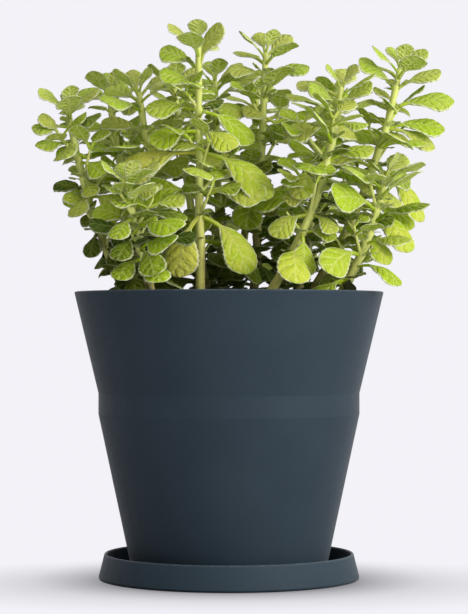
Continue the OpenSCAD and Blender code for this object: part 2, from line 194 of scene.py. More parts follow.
def makePlastic(name, s, edgeHeight):
    material, tree = startMaterial(name)
    where = ownPlace(tree)
    cloud = noiseOf(tree, where, s["cloudSize"], 3.0)
    grain = noiseOf(tree, where, s["grainSize"], 3.0, 0.6)
    scuffs = noiseOf(tree, where, s["scuffSize"], 6.0, 0.7)
    flow = noiseOf(tree, stretch(tree, where, (1, 1, 0.12)), s["flowSize"], 1.0)
    colour = blend(tree, ramp(tree, cloud, 0.35, 0.68), s["colour"], s["pale"])
    # painted highlight along the rim, broken up into wear-like patches
    wearAndHighlightStart, wearAndHighlightFull = (edgeHeight - depth for depth in s["rimWearAndHighlight"])
    nearEdge = ramp(tree, partsOf(tree, where)["Z"], wearAndHighlightStart, wearAndHighlightFull)
    wearAndHighlight = times(tree, nearEdge, ramp(tree, scuffs, 0.42, 0.62, 0.25, 0.8))
    colour = blend(tree, wearAndHighlight, colour, s["scuffAndHighlight"])
    speck = ramp(tree, grain, 0.60, 0.75, 0.0, 0.25)
    colour = blend(tree, speck, colour, s["scuffAndHighlight"])
    roughness = ramp(tree, scuffs, 0.3, 0.7, s["roughness"] - 0.06, s["roughness"] + 0.07)
    relief = plus(tree, grain, times(tree, flow, 1.4))
    shader = addNode(tree, "ShaderNodeBsdfPrincipled", {
        "Base Color": colour, "Roughness": roughness, "Specular IOR Level": s["specular"],
        "Sheen Weight": s["sheen"], "Sheen Roughness": s["sheenRoughness"],
        "Normal": bumpOf(tree, relief, 0.6, s["grainDeep"])})
    finishMaterial(tree, shader.outputs[0])
    return material


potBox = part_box("pot")
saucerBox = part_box("saucer")
for node, settings, box in (("pot", plasticSet, potBox), ("saucer", saucerPaintedLighterSet, saucerBox)):
    plastic = makePlastic(node + "Plastic", settings, box[1][2])
    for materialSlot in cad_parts[node].material_slots:
        materialSlot.material = plastic
print("pot and saucer finished")

# The plant repeats the sizes of its solids, in millimetres; the pot and the soil come from the frame
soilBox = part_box("soil")
plant = {
    "soilR": soilBox[1][0] / mm,
    "soilZ": soilBox[1][2] / mm,
    "rimZ": potBox[1][2] / mm,
    "rise": 184,  # how far the tallest stem could stand above the soil
    "spread": 240,  # width of the crown
    "stemD": 6,
    "stemTipD": 3.6,
    "leafL": 46,
    "leafW": 21,
    "pairs": 9,  # pairs of leaves on each stem
    "sideL": 22,  # side shoots
    "sideD": 2.4,
    "leafGap": 6,  # least gaps to leaves of other stems, of the same stem and to stems
    "ownGap": 3.5,
    "stemGap": 2.5,
    "leafLift": 2,  # least height over the rim or the soil
    "bendRise": 0.40,  # how far up a stem bends
    "lastPair": 0.93,  # height of the last pair on its stem
    "crowding": 0.9,  # below 1, pairs sit closer towards the tip
    "turnNoise": 24,  # degrees, as all turns, rises and hangs
    "pairNoise": 16,
    "sideAngle": 52,
    "sideTurn": 20,
    "sideLongs": (0.7, 1.3),
    "tipPairs": (0.965, 0.985, 1),
    "sidePairs": (0.72, 1),
    "rises": (6, 40),  # slope at the stem, from the lowest pair to the highest
    "hangs": (68, 36),  # how far that slope falls to the leaf's tip, likewise
    "sizes": (1, 0.78),
    "sizeNoise": (0.84, 1.12),
    "tipRises": (34, 54, 72),
    "tipHang": 24,
    "tipSizes": (0.68, 0.54, 0.38),
    "tipNoise": 30,
    "tipLean": 0.6,
    "sideRises": (26, 52),
    "sideHang": 24,
    "sideSizes": (0.46, 0.36),
    "sideSizeNoise": 0.14,
    "sideLeafTurn": 40,
    "sideLean": 0.8,
    "riseNoise": 24,
    "hangNoise": 30,
    "rollNoise": 40,
    "leanMost": 48,  # how far blades turn their faces outwards and to the light
    "light": (0.15, -0.9),
    "near": 0.92,  # only leaves nearer than this share of a leaf's length are compared
    "rootShare": 0.4,  # where a stalk starts, as a share of its stem's radius
    "trackSteps": 12,  # points along a stem that leaves of other stems keep clear of
}
# one row for each stem, in shares of the soil's radius, the spread and the rise:
# base x and y, tip x, y and height, how far out it bends, turn and height of the first pair
stemTable = [
    [-0.60, -0.14, -0.86, -0.14, 0.74, 0.70, 0.10, 0.30],
    [-0.52, 0.16, -0.66, 0.22, 0.82, 0.60, 0.45, 0.20],
    [-0.19, -0.45, -0.16, -0.36, 0.95, 0.50, 0.04, 0.34],
    [0.16, 0.04, 0.20, 0.12, 0.96, 0.60, 0.30, 0.26],
    [0.13, -0.42, 0.59, -0.40, 0.80, 0.80, 0.92, 0.34],
    [0.42, -0.06, 0.92, -0.08, 0.89, 0.72, 0.12, 0.34],
    [-0.33, 0.30, -0.48, -0.18, 0.80, 0.50, 0.60, 0.20],
    [0.44, 0.26, 0.56, 0.26, 0.80, 0.50, 0.75, 0.20],
    [-0.46, -0.52, -0.52, -0.56, 0.46, 0.60, 0.35, 0.34],
    [0.62, -0.30, 0.82, -0.34, 0.50, 0.75, 0.55, 0.34],
    [-0.40, 0.62, -0.56, 0.72, 0.66, 0.60, 0.20, 0.16],
    [0.02, 0.66, 0.16, 0.80, 0.84, 0.60, 0.50, 0.16],
    [0.42, 0.62, 0.60, 0.72, 0.80, 0.60, 0.80, 0.16],
    [-0.04, 0.30, -0.08, 0.42, 0.88, 0.50, 0.15, 0.16],
    [-0.44, 0.40, -0.58, 0.42, 0.62, 0.60, 0.65, 0.20],
    [-0.10, 0.08, -0.30, 0.10, 0.84, 0.60, 0.30, 0.20],
]
# leaves seen in the photograph: stem, pair, which of the two, then root to tip: right, back, up
posedTable = [
    [3, 1, 0, -0.24, -0.30, -0.84], [3, 1, 1, 0.62, -0.20, -0.80], [3, 4, 0, -1.05, -0.10, -0.38],
    [3, 4, 1, 0.94, -0.15, -0.64], [3, 5, 0, -0.62, -0.20, -0.20], [3, 5, 1, 0.44, -0.40, -0.28],
    [3, 6, 0, -0.70, -0.10, -0.02], [3, 6, 1, 0.72, 0.10, -0.44], [3, 7, 0, -0.52, -0.10, 0.20],
    [3, 7, 1, -0.10, -0.50, 0.02], [3, 8, 0, -0.52, 0.10, 0.25], [3, 8, 1, 0.30, -0.05, 0.60],
    [5, 1, 0, 0.02, -0.30, -0.62], [5, 2, 0, -0.46, -0.20, -0.32], [5, 2, 1, 0.48, -0.25, -0.42],
    [5, 3, 0, -0.78, -0.10, -0.14], [5, 5, 0, -0.44, -0.15, -0.60], [5, 5, 1, 0.62, -0.10, 0.14],
    [5, 7, 0, -0.62, -0.10, -0.16], [5, 7, 1, 0.38, -0.25, -0.05], [5, 8, 0, -0.40, -0.05, 0.28],
    [5, 8, 1, 0.44, -0.05, 0.32], [6, 1, 0, 0.50, -0.30, -0.56], [6, 2, 0, 0.68, -0.30, -0.66],
    [6, 3, 1, 0.40, -0.40, -0.32], [6, 4, 0, 0.68, 0.05, -0.76], [6, 5, 0, 0.62, -0.30, 0.02],
    [6, 6, 0, 0.90, 0.10, -0.36], [6, 7, 0, 0.88, 0.05, 0.12], [6, 8, 0, -0.50, -0.05, 0.42],
    [6, 8, 1, 0.62, -0.05, 0.24], [2, 5, 0, -0.74, -0.40, -0.44], [2, 6, 1, -0.50, -0.40, -0.05],
    [2, 8, 0, 0.40, -0.35, 0.05], [4, 3, 1, -0.20, -0.52, -0.58], [4, 8, 0, 0.62, 0.00, 0.10],
    [4, 8, 1, -0.50, 0.00, 0.08], [7, 8, 0, -0.45, -0.30, 0.10], [9, 2, 0, -0.30, -0.35, -0.28],
    [9, 3, 1, 0.20, -0.50, -0.36], [9, 4, 1, -0.25, -0.35, -0.30], [9, 6, 0, -0.22, -0.35, -0.30],
    [9, 8, 0, 0.34, -0.25, 0.05], [9, 8, 1, -0.32, -0.25, 0.12], [1, 0, 0, 0.20, 0.45, -0.10],
    [1, 0, 1, 0.25, -0.45, -0.15], [1, 1, 0, 0.10, 0.50, -0.10], [1, 1, 1, 0.24, -0.42, -0.40],
    [1, 2, 0, -0.10, -0.20, -0.38], [1, 2, 1, 0.40, -0.35, -0.20], [1, 3, 0, 0.20, -0.45, -0.25],
    [1, 3, 1, -0.10, 0.45, -0.10], [1, 4, 0, 0.45, -0.35, -0.20], [1, 4, 1, -0.15, -0.40, -0.30],
    [1, 5, 0, 0.10, 0.50, -0.10], [1, 5, 1, 0.14, -0.30, -0.28], [1, 6, 0, 0.34, -0.35, -0.20],
    [1, 6, 1, -0.20, 0.40, 0.10], [1, 7, 0, -0.50, -0.22, -0.04], [1, 7, 1, -0.14, -0.56, -0.24],
    [1, 8, 0, 0.38, -0.30, 0.10], [1, 8, 1, -0.52, -0.10, -0.04], [10, 0, 0, 0.05, -0.40, -0.40],
]
# how a leaf is tried until it has room: the share of its size, its turn and its rise
trials = ((1, 0, 0), (1, 12, 0), (1, -12, 0), (0.88, 0, 0), (0.88, 12, 8), (0.88, -12, 8),
          (0.76, 0, 0), (0.64, 0, 0), (0.52, 0, 0), (0.42, 0, 0))
# where a leaf is measured along and across it: its blade, then its stalk
bladePlaces = ((1, 0), (0.75, 1), (0.75, -1), (0.5, 0.7), (0.5, -0.7),
               (0.92, 0.7), (0.92, -0.7), (0.62, 0), (0.8, 0))
leafPoints = bladePlaces + ((0.25, 0), (0.45, 0))
middlePoint = 7
upward = np.array([0, 0, 1.0])
stemNumbers = range(len(stemTable))
shootPairs = range(1, plant["pairs"] - 2)


def sinD(a):
    return math.sin(math.radians(a))


def cosD(a):
    return math.cos(math.radians(a))


def noise(k, i):
    v = sinD(k * 137.5 + i * 71.3 + 11) * 4375.85
    return v - math.floor(v)


def eitherWay(k, i):
    return noise(k, i) - 0.5


def between(ends, h):
    return ends[0] + (ends[1] - ends[0]) * h


def heading(a):
    return np.array([cosD(a), sinD(a), 0.0])


def stemCurve(k):
    baseX, baseY, tipX, tipY, tipRise, bend = stemTable[k][:6]
    base = np.array([baseX * plant["soilR"], baseY * plant["soilR"], plant["soilZ"]])
    reach = plant["spread"] / 2
    tip = np.array([tipX * reach, tipY * reach, plant["soilZ"] + tipRise * plant["rise"]])
    out = np.array([bend, bend, plant["bendRise"]])
    return base, base + (tip - base) * out, tip


def stemPoint(k, t):
    base, bend, tip = stemCurve(k)
    return (1 - t) ** 2 * base + 2 * t * (1 - t) * bend + t * t * tip


def stemRadius(t):
    return between((plant["stemD"], plant["stemTipD"]), t) / 2


def pairShare(k, i):
    return between((stemTable[k][7], plant["lastPair"]), (i / (plant["pairs"] - 1)) ** plant["crowding"])


def pairTurn(k, i):
    return 90 * (stemTable[k][6] + i) + plant["turnNoise"] * eitherWay(k, i)


def shootTurn(k, i):
    return pairTurn(k, i) + (0 if noise(k, i + 40) < 0.5 else 180) + plant["sideTurn"]


def shootPoint(k, i, t):
    way = cosD(plant["sideAngle"]) * heading(shootTurn(k, i)) + sinD(plant["sideAngle"]) * upward
    long = plant["sideL"] * between(plant["sideLongs"], noise(k, i + 20))
    return stemPoint(k, pairShare(k, i)) + t * long * way


# A leaf is a dictionary: root, turn, the slopes at its root and tip, roll and size
def droop(leaf, s):
    s = np.asarray(s, float)
    turn = leaf["fall"] - leaf["rise"]
    if abs(turn) < 1:
        return s * cosD(leaf["rise"]), s * sinD(leaf["rise"])
    slope = np.radians(leaf["rise"] + turn * s)
    scale = 180 / (math.pi * turn)
    return scale * (np.sin(slope) - sinD(leaf["rise"])), scale * (cosD(leaf["rise"]) - np.cos(slope))


def leafMiddle(leaf, s):
    out, up = droop(leaf, s)
    step = np.multiply.outer(out, heading(leaf["turn"])) + np.multiply.outer(up, upward)
    return leaf["root"] + leaf["size"] * plant["leafL"] * step


def leafAxes(leaf, s, twist=0.0):
    slope = np.radians(leaf["rise"] + (leaf["fall"] - leaf["rise"]) * np.asarray(s, float))
    up = np.multiply.outer(np.cos(slope), upward) - np.multiply.outer(np.sin(slope), heading(leaf["turn"]))
    left = heading(leaf["turn"] + 90)
    roll = np.radians(leaf["roll"] + twist * np.asarray(s, float))
    c, d = np.cos(roll), np.sin(roll)
    side = np.multiply.outer(c, left) + (d.T * up.T).T
    face = (c.T * up.T).T - np.multiply.outer(d, left)
    return side, face


def halfWidth(leaf):
    return plant["leafW"] / 2 * leaf["size"] ** 0.6


def leafPlaces(leaf):
    s = np.array([p[0] for p in leafPoints])
    side = leafAxes(leaf, s)[0]
    return leafMiddle(leaf, s) + np.array([p[1] for p in leafPoints])[:, None] * halfWidth(leaf) * side


def lean(point, turn, most):
    reach = plant["spread"] / 2
    r = np.array([point[0] / reach + plant["light"][0], point[1] / reach + plant["light"][1], 0])
    return -most * float(heading(turn + 90) @ r) / max(1, np.linalg.norm(r))


def newLeaf(k, rank, t, point, turn, rise, hang, size, mostLean, kind, roll=0.0):
    leaf = {"stem": k, "rank": rank, "root": point, "turn": turn, "rise": rise, "fall": rise - hang,
            "roll": mostLean + roll, "size": size, "kind": kind, "height": t, "pose": None}
    leaf["places"] = leafPlaces(leaf)
    return leaf


def stalkRoot(k, t, turn):
    return stemPoint(k, t) + plant["rootShare"] * stemRadius(t) * heading(turn)


def leafOnStem(k, rank, t, turn, rise, hang, size, mostLean, kind, roll=0.0):
    tilt = lean(stemPoint(k, t), turn, mostLean)
    return newLeaf(k, rank, t, stalkRoot(k, t, turn), turn, rise, hang, size, tilt, kind, roll)


def posedLeaf(n, row):
    k, i, way = row[0] - 1, row[1], np.array(row[3:])
    chord = math.degrees(math.atan2(way[2], math.hypot(way[0], way[1])))
    hang = between(plant["hangs"], i / (plant["pairs"] - 1))
    size = float(np.linalg.norm(way)) * (math.pi * hang / 360) / sinD(hang / 2)
    turn = math.degrees(math.atan2(way[1], way[0]))
    leaf = leafOnStem(k, 4 - n / 100, pairShare(k, i), turn, chord + hang / 2, hang, size,
                      plant["leanMost"], "posed")
    return dict(leaf, pose=tuple(row[:3]))


def freeLeaf(k, i, side):
    h, n = i / (plant["pairs"] - 1), 100 * side + 10 * i
    turn = pairTurn(k, i) + 180 * side + plant["pairNoise"] * eitherWay(k, n + 1)
    rise = between(plant["rises"], h) + plant["riseNoise"] * eitherWay(k, n + 2)
    hang = between(plant["hangs"], h) - plant["hangNoise"] * eitherWay(k, n + 3)
    size = between(plant["sizes"], h) * between(plant["sizeNoise"], noise(k, n + 5))
    roll = plant["rollNoise"] * eitherWay(k, n + 4)
    rank = 1 + noise(k, 7 * i + side + 300)
    return leafOnStem(k, rank, pairShare(k, i), turn, rise, hang, size, plant["leanMost"], "free", roll)


def tipLeaf(k, i, side):
    turn = 90 * (stemTable[k][6] + plant["pairs"] + i) + 180 * side
    turn += plant["tipNoise"] * eitherWay(k, 60 + i)
    rank = 2 + noise(k, 400 + 2 * i + side)
    return leafOnStem(k, rank, plant["tipPairs"][i], turn, plant["tipRises"][i], plant["tipHang"],
                      plant["tipSizes"][i], plant["tipLean"] * plant["leanMost"], "tip")


def shootLeaf(k, i, j, side):
    point = shootPoint(k, i, plant["sidePairs"][j])
    turn = shootTurn(k, i) + 90 * j + 180 * side + plant["sideLeafTurn"]
    size = plant["sideSizes"][j] + plant["sideSizeNoise"] * noise(k, i * 7 + j)
    tilt = lean(point, turn, plant["sideLean"] * plant["leanMost"])
    rank = noise(k, i * 11 + j * 5 + side + 500)
    root = point + plant["rootShare"] / 2 * plant["sideD"] * heading(turn)
    return newLeaf(k, rank, pairShare(k, i), root, turn, plant["sideRises"][j], plant["sideHang"],
                   size, tilt, "shoot")


# every leaf that may grow keeps clear of those with a higher rank
posedKeys = {tuple(row[:3]) for row in posedTable}
wishes = [posedLeaf(n, row) for n, row in enumerate(posedTable)]
for k in stemNumbers:
    wishes += [freeLeaf(k, i, side) for i in range(plant["pairs"]) for side in (0, 1)
               if (k + 1, i, side) not in posedKeys]
    wishes += [tipLeaf(k, i, side) for i in range(len(plant["tipPairs"])) for side in (0, 1)]
    wishes += [shootLeaf(k, i, j, side) for i in shootPairs for j in (0, 1) for side in (0, 1)]
wishPlaces = np.array([leaf["places"] for leaf in wishes])
wishStems = np.array([leaf["stem"] for leaf in wishes])
wishRanks = np.array([leaf["rank"] for leaf in wishes])
tracks = [
    np.array([stemPoint(k, i / plant["trackSteps"]) for i in range(plant["trackSteps"] + 1)]
             + [shootPoint(k, i, t) for i in shootPairs for t in (0.5, 1)])
    for k in stemNumbers
]


def apart(places, points, gap):
    points = points.reshape(-1, 3)
    return len(points) == 0 or np.linalg.norm(places[:, None] - points[None], axis=2).min() > gap


def grown(leaf):
    k, blades, lift = leaf["stem"], len(bladePlaces), plant["leafLift"]
    away = np.linalg.norm(wishPlaces[:, middlePoint] - leaf["places"][middlePoint], axis=1)
    ahead = (wishRanks > leaf["rank"]) & (away < plant["near"] * plant["leafL"])
    stems = np.concatenate([track for j, track in enumerate(tracks) if j != k])
    others, own = wishPlaces[ahead & (wishStems != k)], wishPlaces[ahead & (wishStems == k)][:, :blades]
    for share, turn, rise in trials:
        if leaf["kind"] == "posed" and (turn or rise):
            continue
        trial = dict(leaf, size=leaf["size"] * share, turn=leaf["turn"] + turn,
                     rise=leaf["rise"] + rise, fall=leaf["fall"] + rise)
        p = leafPlaces(trial)
        b = p[:blades]
        above = b[:, 2] > plant["rimZ"] + lift
        inside = (b[:, 2] > plant["soilZ"] + lift) & (np.hypot(b[:, 0], b[:, 1]) < plant["soilR"] - lift)
        if ((above | inside).all() and apart(p, stems, plant["stemD"] + plant["stemGap"])
                and apart(p, others, plant["leafGap"]) and apart(b, own, plant["ownGap"])):
            return [trial]
    return []


plantLeaves = [[] for k in stemNumbers]
for leaf in wishes:
    plantLeaves[leaf["stem"]] += grown(leaf)
print("leaves placed:", sum(len(leaves) for leaves in plantLeaves))


# Every plant piece is a set of closed skins through rings of points, each with its own place in the UV map
class Skins:
    def __init__(self, name, cells):
        self.name, self.points, self.faces, self.uvs = name, [], [], []
        self.marks = {"share": [], "look": []}
        self.count, self.cell, self.grid = 0, 0, math.ceil(math.sqrt(cells))

    def add(self, rings, tip, share, look):
        steps, sides = rings.shape[:2]
        first, tipIndex = self.count, self.count + steps * sides
        self.points += [rings.reshape(-1, 3), tip[None]]
        self.marks["share"] += [share.reshape(-1, 3), share[-1:, 0] * (0, 1, 1)]
        self.marks["look"] += [look.reshape(-1, 3), look[-1:, 0]]
        self.count = tipIndex + 1
        i, j = np.meshgrid(np.arange(steps - 1), np.arange(sides), indexing="ij")
        i, j = i.ravel(), j.ravel()
        a, b = first + i * sides + j, first + i * sides + (j + 1) % sides
        self.faces += np.stack([a, a + sides, b + sides, b], 1).tolist()
        margin = 0.04  # free border of each cell of the map
        cornerX, cornerY = self.cell % self.grid + margin, self.cell // self.grid + margin

        def place(across, along):
            x = cornerX + (1 - 2 * margin) * np.asarray(across) / sides
            y = cornerY + (1 - 2 * margin) * np.asarray(along) / steps
            return np.stack([x / self.grid, y / self.grid], -1)

        corners = [place(j, i), place(j, i + 1), place(j + 1, i + 1), place(j + 1, i)]
        self.uvs.append(np.stack(corners, 1).reshape(-1, 2))
        last = first + (steps - 1) * sides
        for q in range(sides):
            self.faces.append([last + q, tipIndex, last + (q + 1) % sides])
            self.uvs.append(place([q, q + 0.5, q + 1], [steps - 1, steps, steps - 1]))
        self.faces.append([first + q for q in range(sides)])
        self.uvs.append(place(np.arange(sides), np.full(sides, -0.3)))
        self.cell += 1

    def build(self, material):
        mesh = bpy.data.meshes.new(self.name)
        mesh.from_pydata(np.concatenate(self.points) * mm, [], self.faces)
        mesh.polygons.foreach_set("use_smooth", np.ones(len(mesh.polygons), bool))
        layer = mesh.uv_layers.new(name="OFBake")
        layer.data.foreach_set("uv", np.concatenate(self.uvs).astype(np.float32).ravel())
        for key, rows in self.marks.items():
            mark = mesh.attributes.new(key, "FLOAT_VECTOR", "POINT")
            mark.data.foreach_set("vector", np.concatenate(rows).astype(np.float32).ravel())
        mesh.materials.append(material)
        return addObject(self.name, mesh)


def smooth(x):
    x = np.clip(x, 0, 1)
    return x * x * (3 - 2 * x)


def fade(x, ends):
    return smooth((x - ends[0]) / (ends[1] - ends[0]))


# Stems and side shoots: squarish, downy, swollen a little at each pair of leaves
stemSet = {
    "rings": 56,
    "sides": 12,
    "shootRings": 12,
    "shootSides": 8,
    "square": 0.06,  # how far the section is from round
    "knuckle": 0.24,  # swelling at each pair of leaves
    "knuckleLong": 0.014,
    "wobble": 0.35,  # mm to each side
    "capHigh": 0.6,
    "shootTaper": 0.4,
    "shootKnuckle": 0.25,
    "shootKnuckleLong": 0.05,
    "paintedShadeBehind": (-0.3, 0.1),  # painted shade: where feet start to darken and are darkest, towards the back
    "paintedShadeLeft": (-0.3, -0.5),  # and towards the left
    "young": (0.62, 0.66, 0.17),
    "old": (0.52, 0.48, 0.11),
    # bark at the foot of each stem, also the colour of the painted shade on the feet at the back and the
    # left
    "barkAndShade": (0.11, 0.085, 0.033),
    # how far the painted shade darkens those feet
    "paintedFootShade": 0.3,
    "down": (0.62, 0.66, 0.36),
    "streakSize": 1.1 * mm,
    "patchSize": 7 * mm,
    "hairSize": 0.32 * mm,
    "skinDeep": 0.16 * mm,
}


def stemMaterial(s):
    material, tree = startMaterial("downyStem")
    where = ownPlace(tree)
    along, footShade = markParts(tree, "share")["Y"], markParts(tree, "look")["Y"]
    streaks = noiseOf(tree, stretch(tree, where, (1, 1, 0.15)), s["streakSize"], 3.0, 0.6)
    patches = noiseOf(tree, where, s["patchSize"], 3.0)
    hairs = noiseOf(tree, where, s["hairSize"], 2.0, 0.7)
    shade = plus(tree, along, times(tree, minus(tree, patches, 0.5), 0.5))
    colour = blend(tree, ramp(tree, shade, 0.12, 0.62), s["old"], s["young"])
    # painted shade: the feet of the stems at the back and at the left turn darker, towards bark
    footWithPaintedShade = minus(tree, shade, times(tree, footShade, s["paintedFootShade"]))
    barkAndPaintedShade = times(tree, ramp(tree, footWithPaintedShade, 0.22, 0.0), ramp(tree, streaks, 0.4, 0.6, 0.4, 0.95))
    colour = blend(tree, barkAndPaintedShade, colour, s["barkAndShade"])
    colour = blend(tree, ramp(tree, streaks, 0.52, 0.68, 0.0, 0.3), colour, s["down"])
    colour = blend(tree, ramp(tree, hairs, 0.56, 0.72, 0.0, 0.4), colour, s["down"])
    relief = plus(tree, streaks, times(tree, hairs, 0.5))
    shader = addNode(tree, "ShaderNodeBsdfPrincipled", {
        "Base Color": colour, "Roughness": 0.7, "Specular IOR Level": 0.2, "Sheen Weight": 0.3,
        "Sheen Roughness": 0.45, "Sheen Tint": (0.95, 1.0, 0.8, 1),
        "Normal": bumpOf(tree, relief, 0.7, s["skinDeep"])})
    finishMaterial(tree, shader.outputs[0])
    return material


def tubeRings(centres, radii, sides, square):
    way = np.gradient(centres, axis=0)
    way[0] = upward if centres[0][2] < plant["soilZ"] + 0.1 else way[0]
    way /= np.linalg.norm(way, axis=1)[:, None]
    e1 = np.cross((0, 1, 0), way)
    e1 /= np.linalg.norm(e1, axis=1)[:, None]
    e2 = np.cross(way, e1)
    a = 2 * math.pi * np.arange(sides) / sides
    r = radii[:, None] * (1 + square * np.cos(4 * a))[None]
    outward = np.cos(a)[None, :, None] * e1[:, None] + np.sin(a)[None, :, None] * e2[:, None]
    return centres[:, None] + r[..., None] * outward


def tubeMarks(t, sides, kind):
    share = np.zeros((len(t), sides, 3))
    share[..., 1] = t[:, None]
    look = np.zeros((len(t), sides, 3))
    look[..., 0] = kind
    return share, look


def buildStem(k, s, material):
    skins = Skins(f"stalk_{k + 1}", 1 + len(shootPairs))
    t = np.linspace(0, 1, s["rings"])
    centres = np.array([stemPoint(k, v) for v in t])
    sway = s["wobble"] * np.sin(math.pi * t)[:, None] * np.stack(
        [np.sin(19 * t + k), np.sin(23 * t + 2 * k), 0 * t], 1)
    knuckles = sum(np.exp(-((t - pairShare(k, i)) / s["knuckleLong"]) ** 2) for i in range(plant["pairs"]))
    radii = stemRadius(t) * (1 + s["knuckle"] * np.minimum(1, knuckles))
    share, look = tubeMarks(t, s["sides"], 0)
    # painted shade: the stems at the back and at the left have the darkest feet
    baseX, baseY = stemTable[k][:2]
    look[..., 1] = max(fade(baseY, s["paintedShadeBehind"]), fade(baseX, s["paintedShadeLeft"]))
    rings = tubeRings(centres + sway, radii, s["sides"], s["square"])
    skins.add(rings[:, ::-1], centres[-1] + upward * radii[-1] * s["capHigh"], share, look)
    for i in shootPairs:
        u = np.linspace(0, 1, s["shootRings"])
        centres = np.array([shootPoint(k, i, v) for v in u])
        knuckle = np.exp(-((u - plant["sidePairs"][0]) / s["shootKnuckleLong"]) ** 2)
        radii = plant["sideD"] / 2 * (1 - s["shootTaper"] * u) * (1 + s["shootKnuckle"] * knuckle)
        share, look = tubeMarks(0.5 + 0.5 * u, s["shootSides"], 1)
        way = centres[-1] - centres[0]
        tip = centres[-1] + way / np.linalg.norm(way) * radii[-1]
        skins.add(tubeRings(centres, radii, s["shootSides"], 0)[:, ::-1], tip, share, look)
    piece = skins.build(material)
    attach(piece, "plant")
    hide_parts(f"stem_{k + 1}")


downyStem = stemMaterial(stemSet)
for k in stemNumbers:
    buildStem(k, stemSet, downyStem)
print("stems built:", len(stemTable))

# Leaves: spoon-shaped blades on a stalk, scalloped, quilted between pale veins, with a pale downy edge
# lightened further by a painted highlight
leafSet = {
    "alongLarge": 34,  # rings along a leaf and points across it
    "alongSmall": 16,
    "acrossLarge": 9,
    "acrossSmall": 7,
    "smallSize": 0.5,  # up to this size a leaf counts as small
    "stalkShare": 0.24,  # the stalk's share of the length
    "stalkWide": 2.8,  # mm, as the thicknesses, the groove, the rib and the wave
    "stalkThick": 2.0,
    "bladeThick": 1.2,
    "tipThin": 0.7,
    "edgeFall": 0.2,  # how far the edge hangs, as a share of the half width
    "groove": 0.45,
    "grooveWide": 0.9,
    "rib": 0.6,
    "ribWide": 0.8,
    "broad": 1.1,
    "spoon": (1.05, 0.5),  # powers that shape the outline towards the stalk and the tip
    "toothLong": 3.6,  # mm from tooth to tooth along the edge
    "toothDeep": 0.032,
    "wave": 0.6,
    "waves": 1.6,
    "twist": 16,  # degrees
    "veins": 4.8,  # side veins on each half
    "veinSweep": 0.3,
    "veinWobble": 0.8,
    "wobbleSize": 5 * mm,
    "netSize": 3.8 * mm,
    "patchSize": 9 * mm,
    "hairSize": 0.35 * mm,
    "skinDeep": 0.36 * mm,
    "midribWide": (0.9, 0.25),  # mm from its middle where it starts and is full
    "edgeWide": (1.4, 0.75),  # mm from the blade's edge, likewise
    "deep": (0.038, 0.076, 0.004),
    "fresh": (0.425, 0.595, 0.010),
    "lime": (0.545, 0.580, 0.090),
    "yellow": (0.730, 0.700, 0.100),
    # near black, for tones below -0.5: leaf (10, 0, 0), and leaves that painted shade darkens most
    "nearBlack": (0.022, 0.022, 0.008),
    "under": (0.350, 0.480, 0.016),
    "vein": (0.740, 0.780, 0.230),
    # the margin's pale down, lightened further as a painted highlight
    "edge": (0.840, 0.840, 0.540),
    "glow": (0.480, 0.740, 0.010),
    "glowShare": 0.3,  # share of the light that passes through the blade
    "hair": (0.780, 0.830, 0.220),
    "down": (0.740, 0.780, 0.420),
    "budSizes": (0.12, 0.24),
    "budsEach": 4,  # at each pair
    "budSpread": 0.012,
    "budRises": (20, 65),
    "budHang": 30,
    "budRoot": 0.7,
    "shadeLeaves": 9,
    "shadeHeights": (0.03, 0.34),
    "shadeSizes": (0.34, 0.62),
    "shadeRises": (-10, 50),
    "shadeHang": 50,
    "shadeFront": -0.2,
    "shadeLift": 2,
    "shadeIn": 4,
    "shadeTone": (-0.35, 0.0),
    "tone": 0.33,  # about 0 is deep green, 0.5 fresh green and 1 lime
    "toneSpread": 0.6,
    # how much lighter leaves are higher up: younger leaves there, and painted light as well
    "toneRise": 0.2,
    "innerShadeTone": 0.9,  # painted shade: how much darker deep inside, between these heights, radii and depths
    "deepHeights": (0.66, 0.36),
    "deepRadii": (110, 70),
    "deepDepths": (-50, -10),
    "frontShare": 0.35,
    "leftShadeTone": 0.55,  # painted shade: how much darker low on the left, likewise
    "leftEnds": (-25, -55),
    "leftHeights": (80, 45),
    "randomShadeShare": 0.22,  # share of the leaves darkened at random with painted shade, as if shaded by others
    "randomShadeTone": 0.4,
    "shootTone": 0.1,
    "yellowHeights": (0.62, 0.32),  # where leaves start to turn yellow and do so most
    "yellowShare": 0.5,
    "yellowMost": 0.9,
    "yellowGain": 1.2,
    "downyHeights": (0.6, 1.1),  # where leaves start to look downy
    # tone and yellowness of leaves seen in the photograph, by stem, pair and side
    "posedLooks": {
        # painted light: the first leaf's tone is raised because it stands in shade
        (3, 1, 0): (1.4, 0.95), (3, 1, 1): (0.7, 0.3), (3, 4, 0): (1.0, 0.85), (3, 4, 1): (0.75, 0.15),
        (3, 5, 0): (0.45, 0.1), (3, 5, 1): (0.6, 0.5), (5, 1, 0): (0.6, 0.25), (5, 2, 0): (0.8, 0.1),
        (5, 3, 0): (0.9, 0.1), (6, 1, 0): (0.6, 0.4), (6, 2, 0): (0.65, 0.45), (6, 4, 0): (0.75, 0.4),
        (10, 0, 0): (-1.0, 0.0),
    },
}


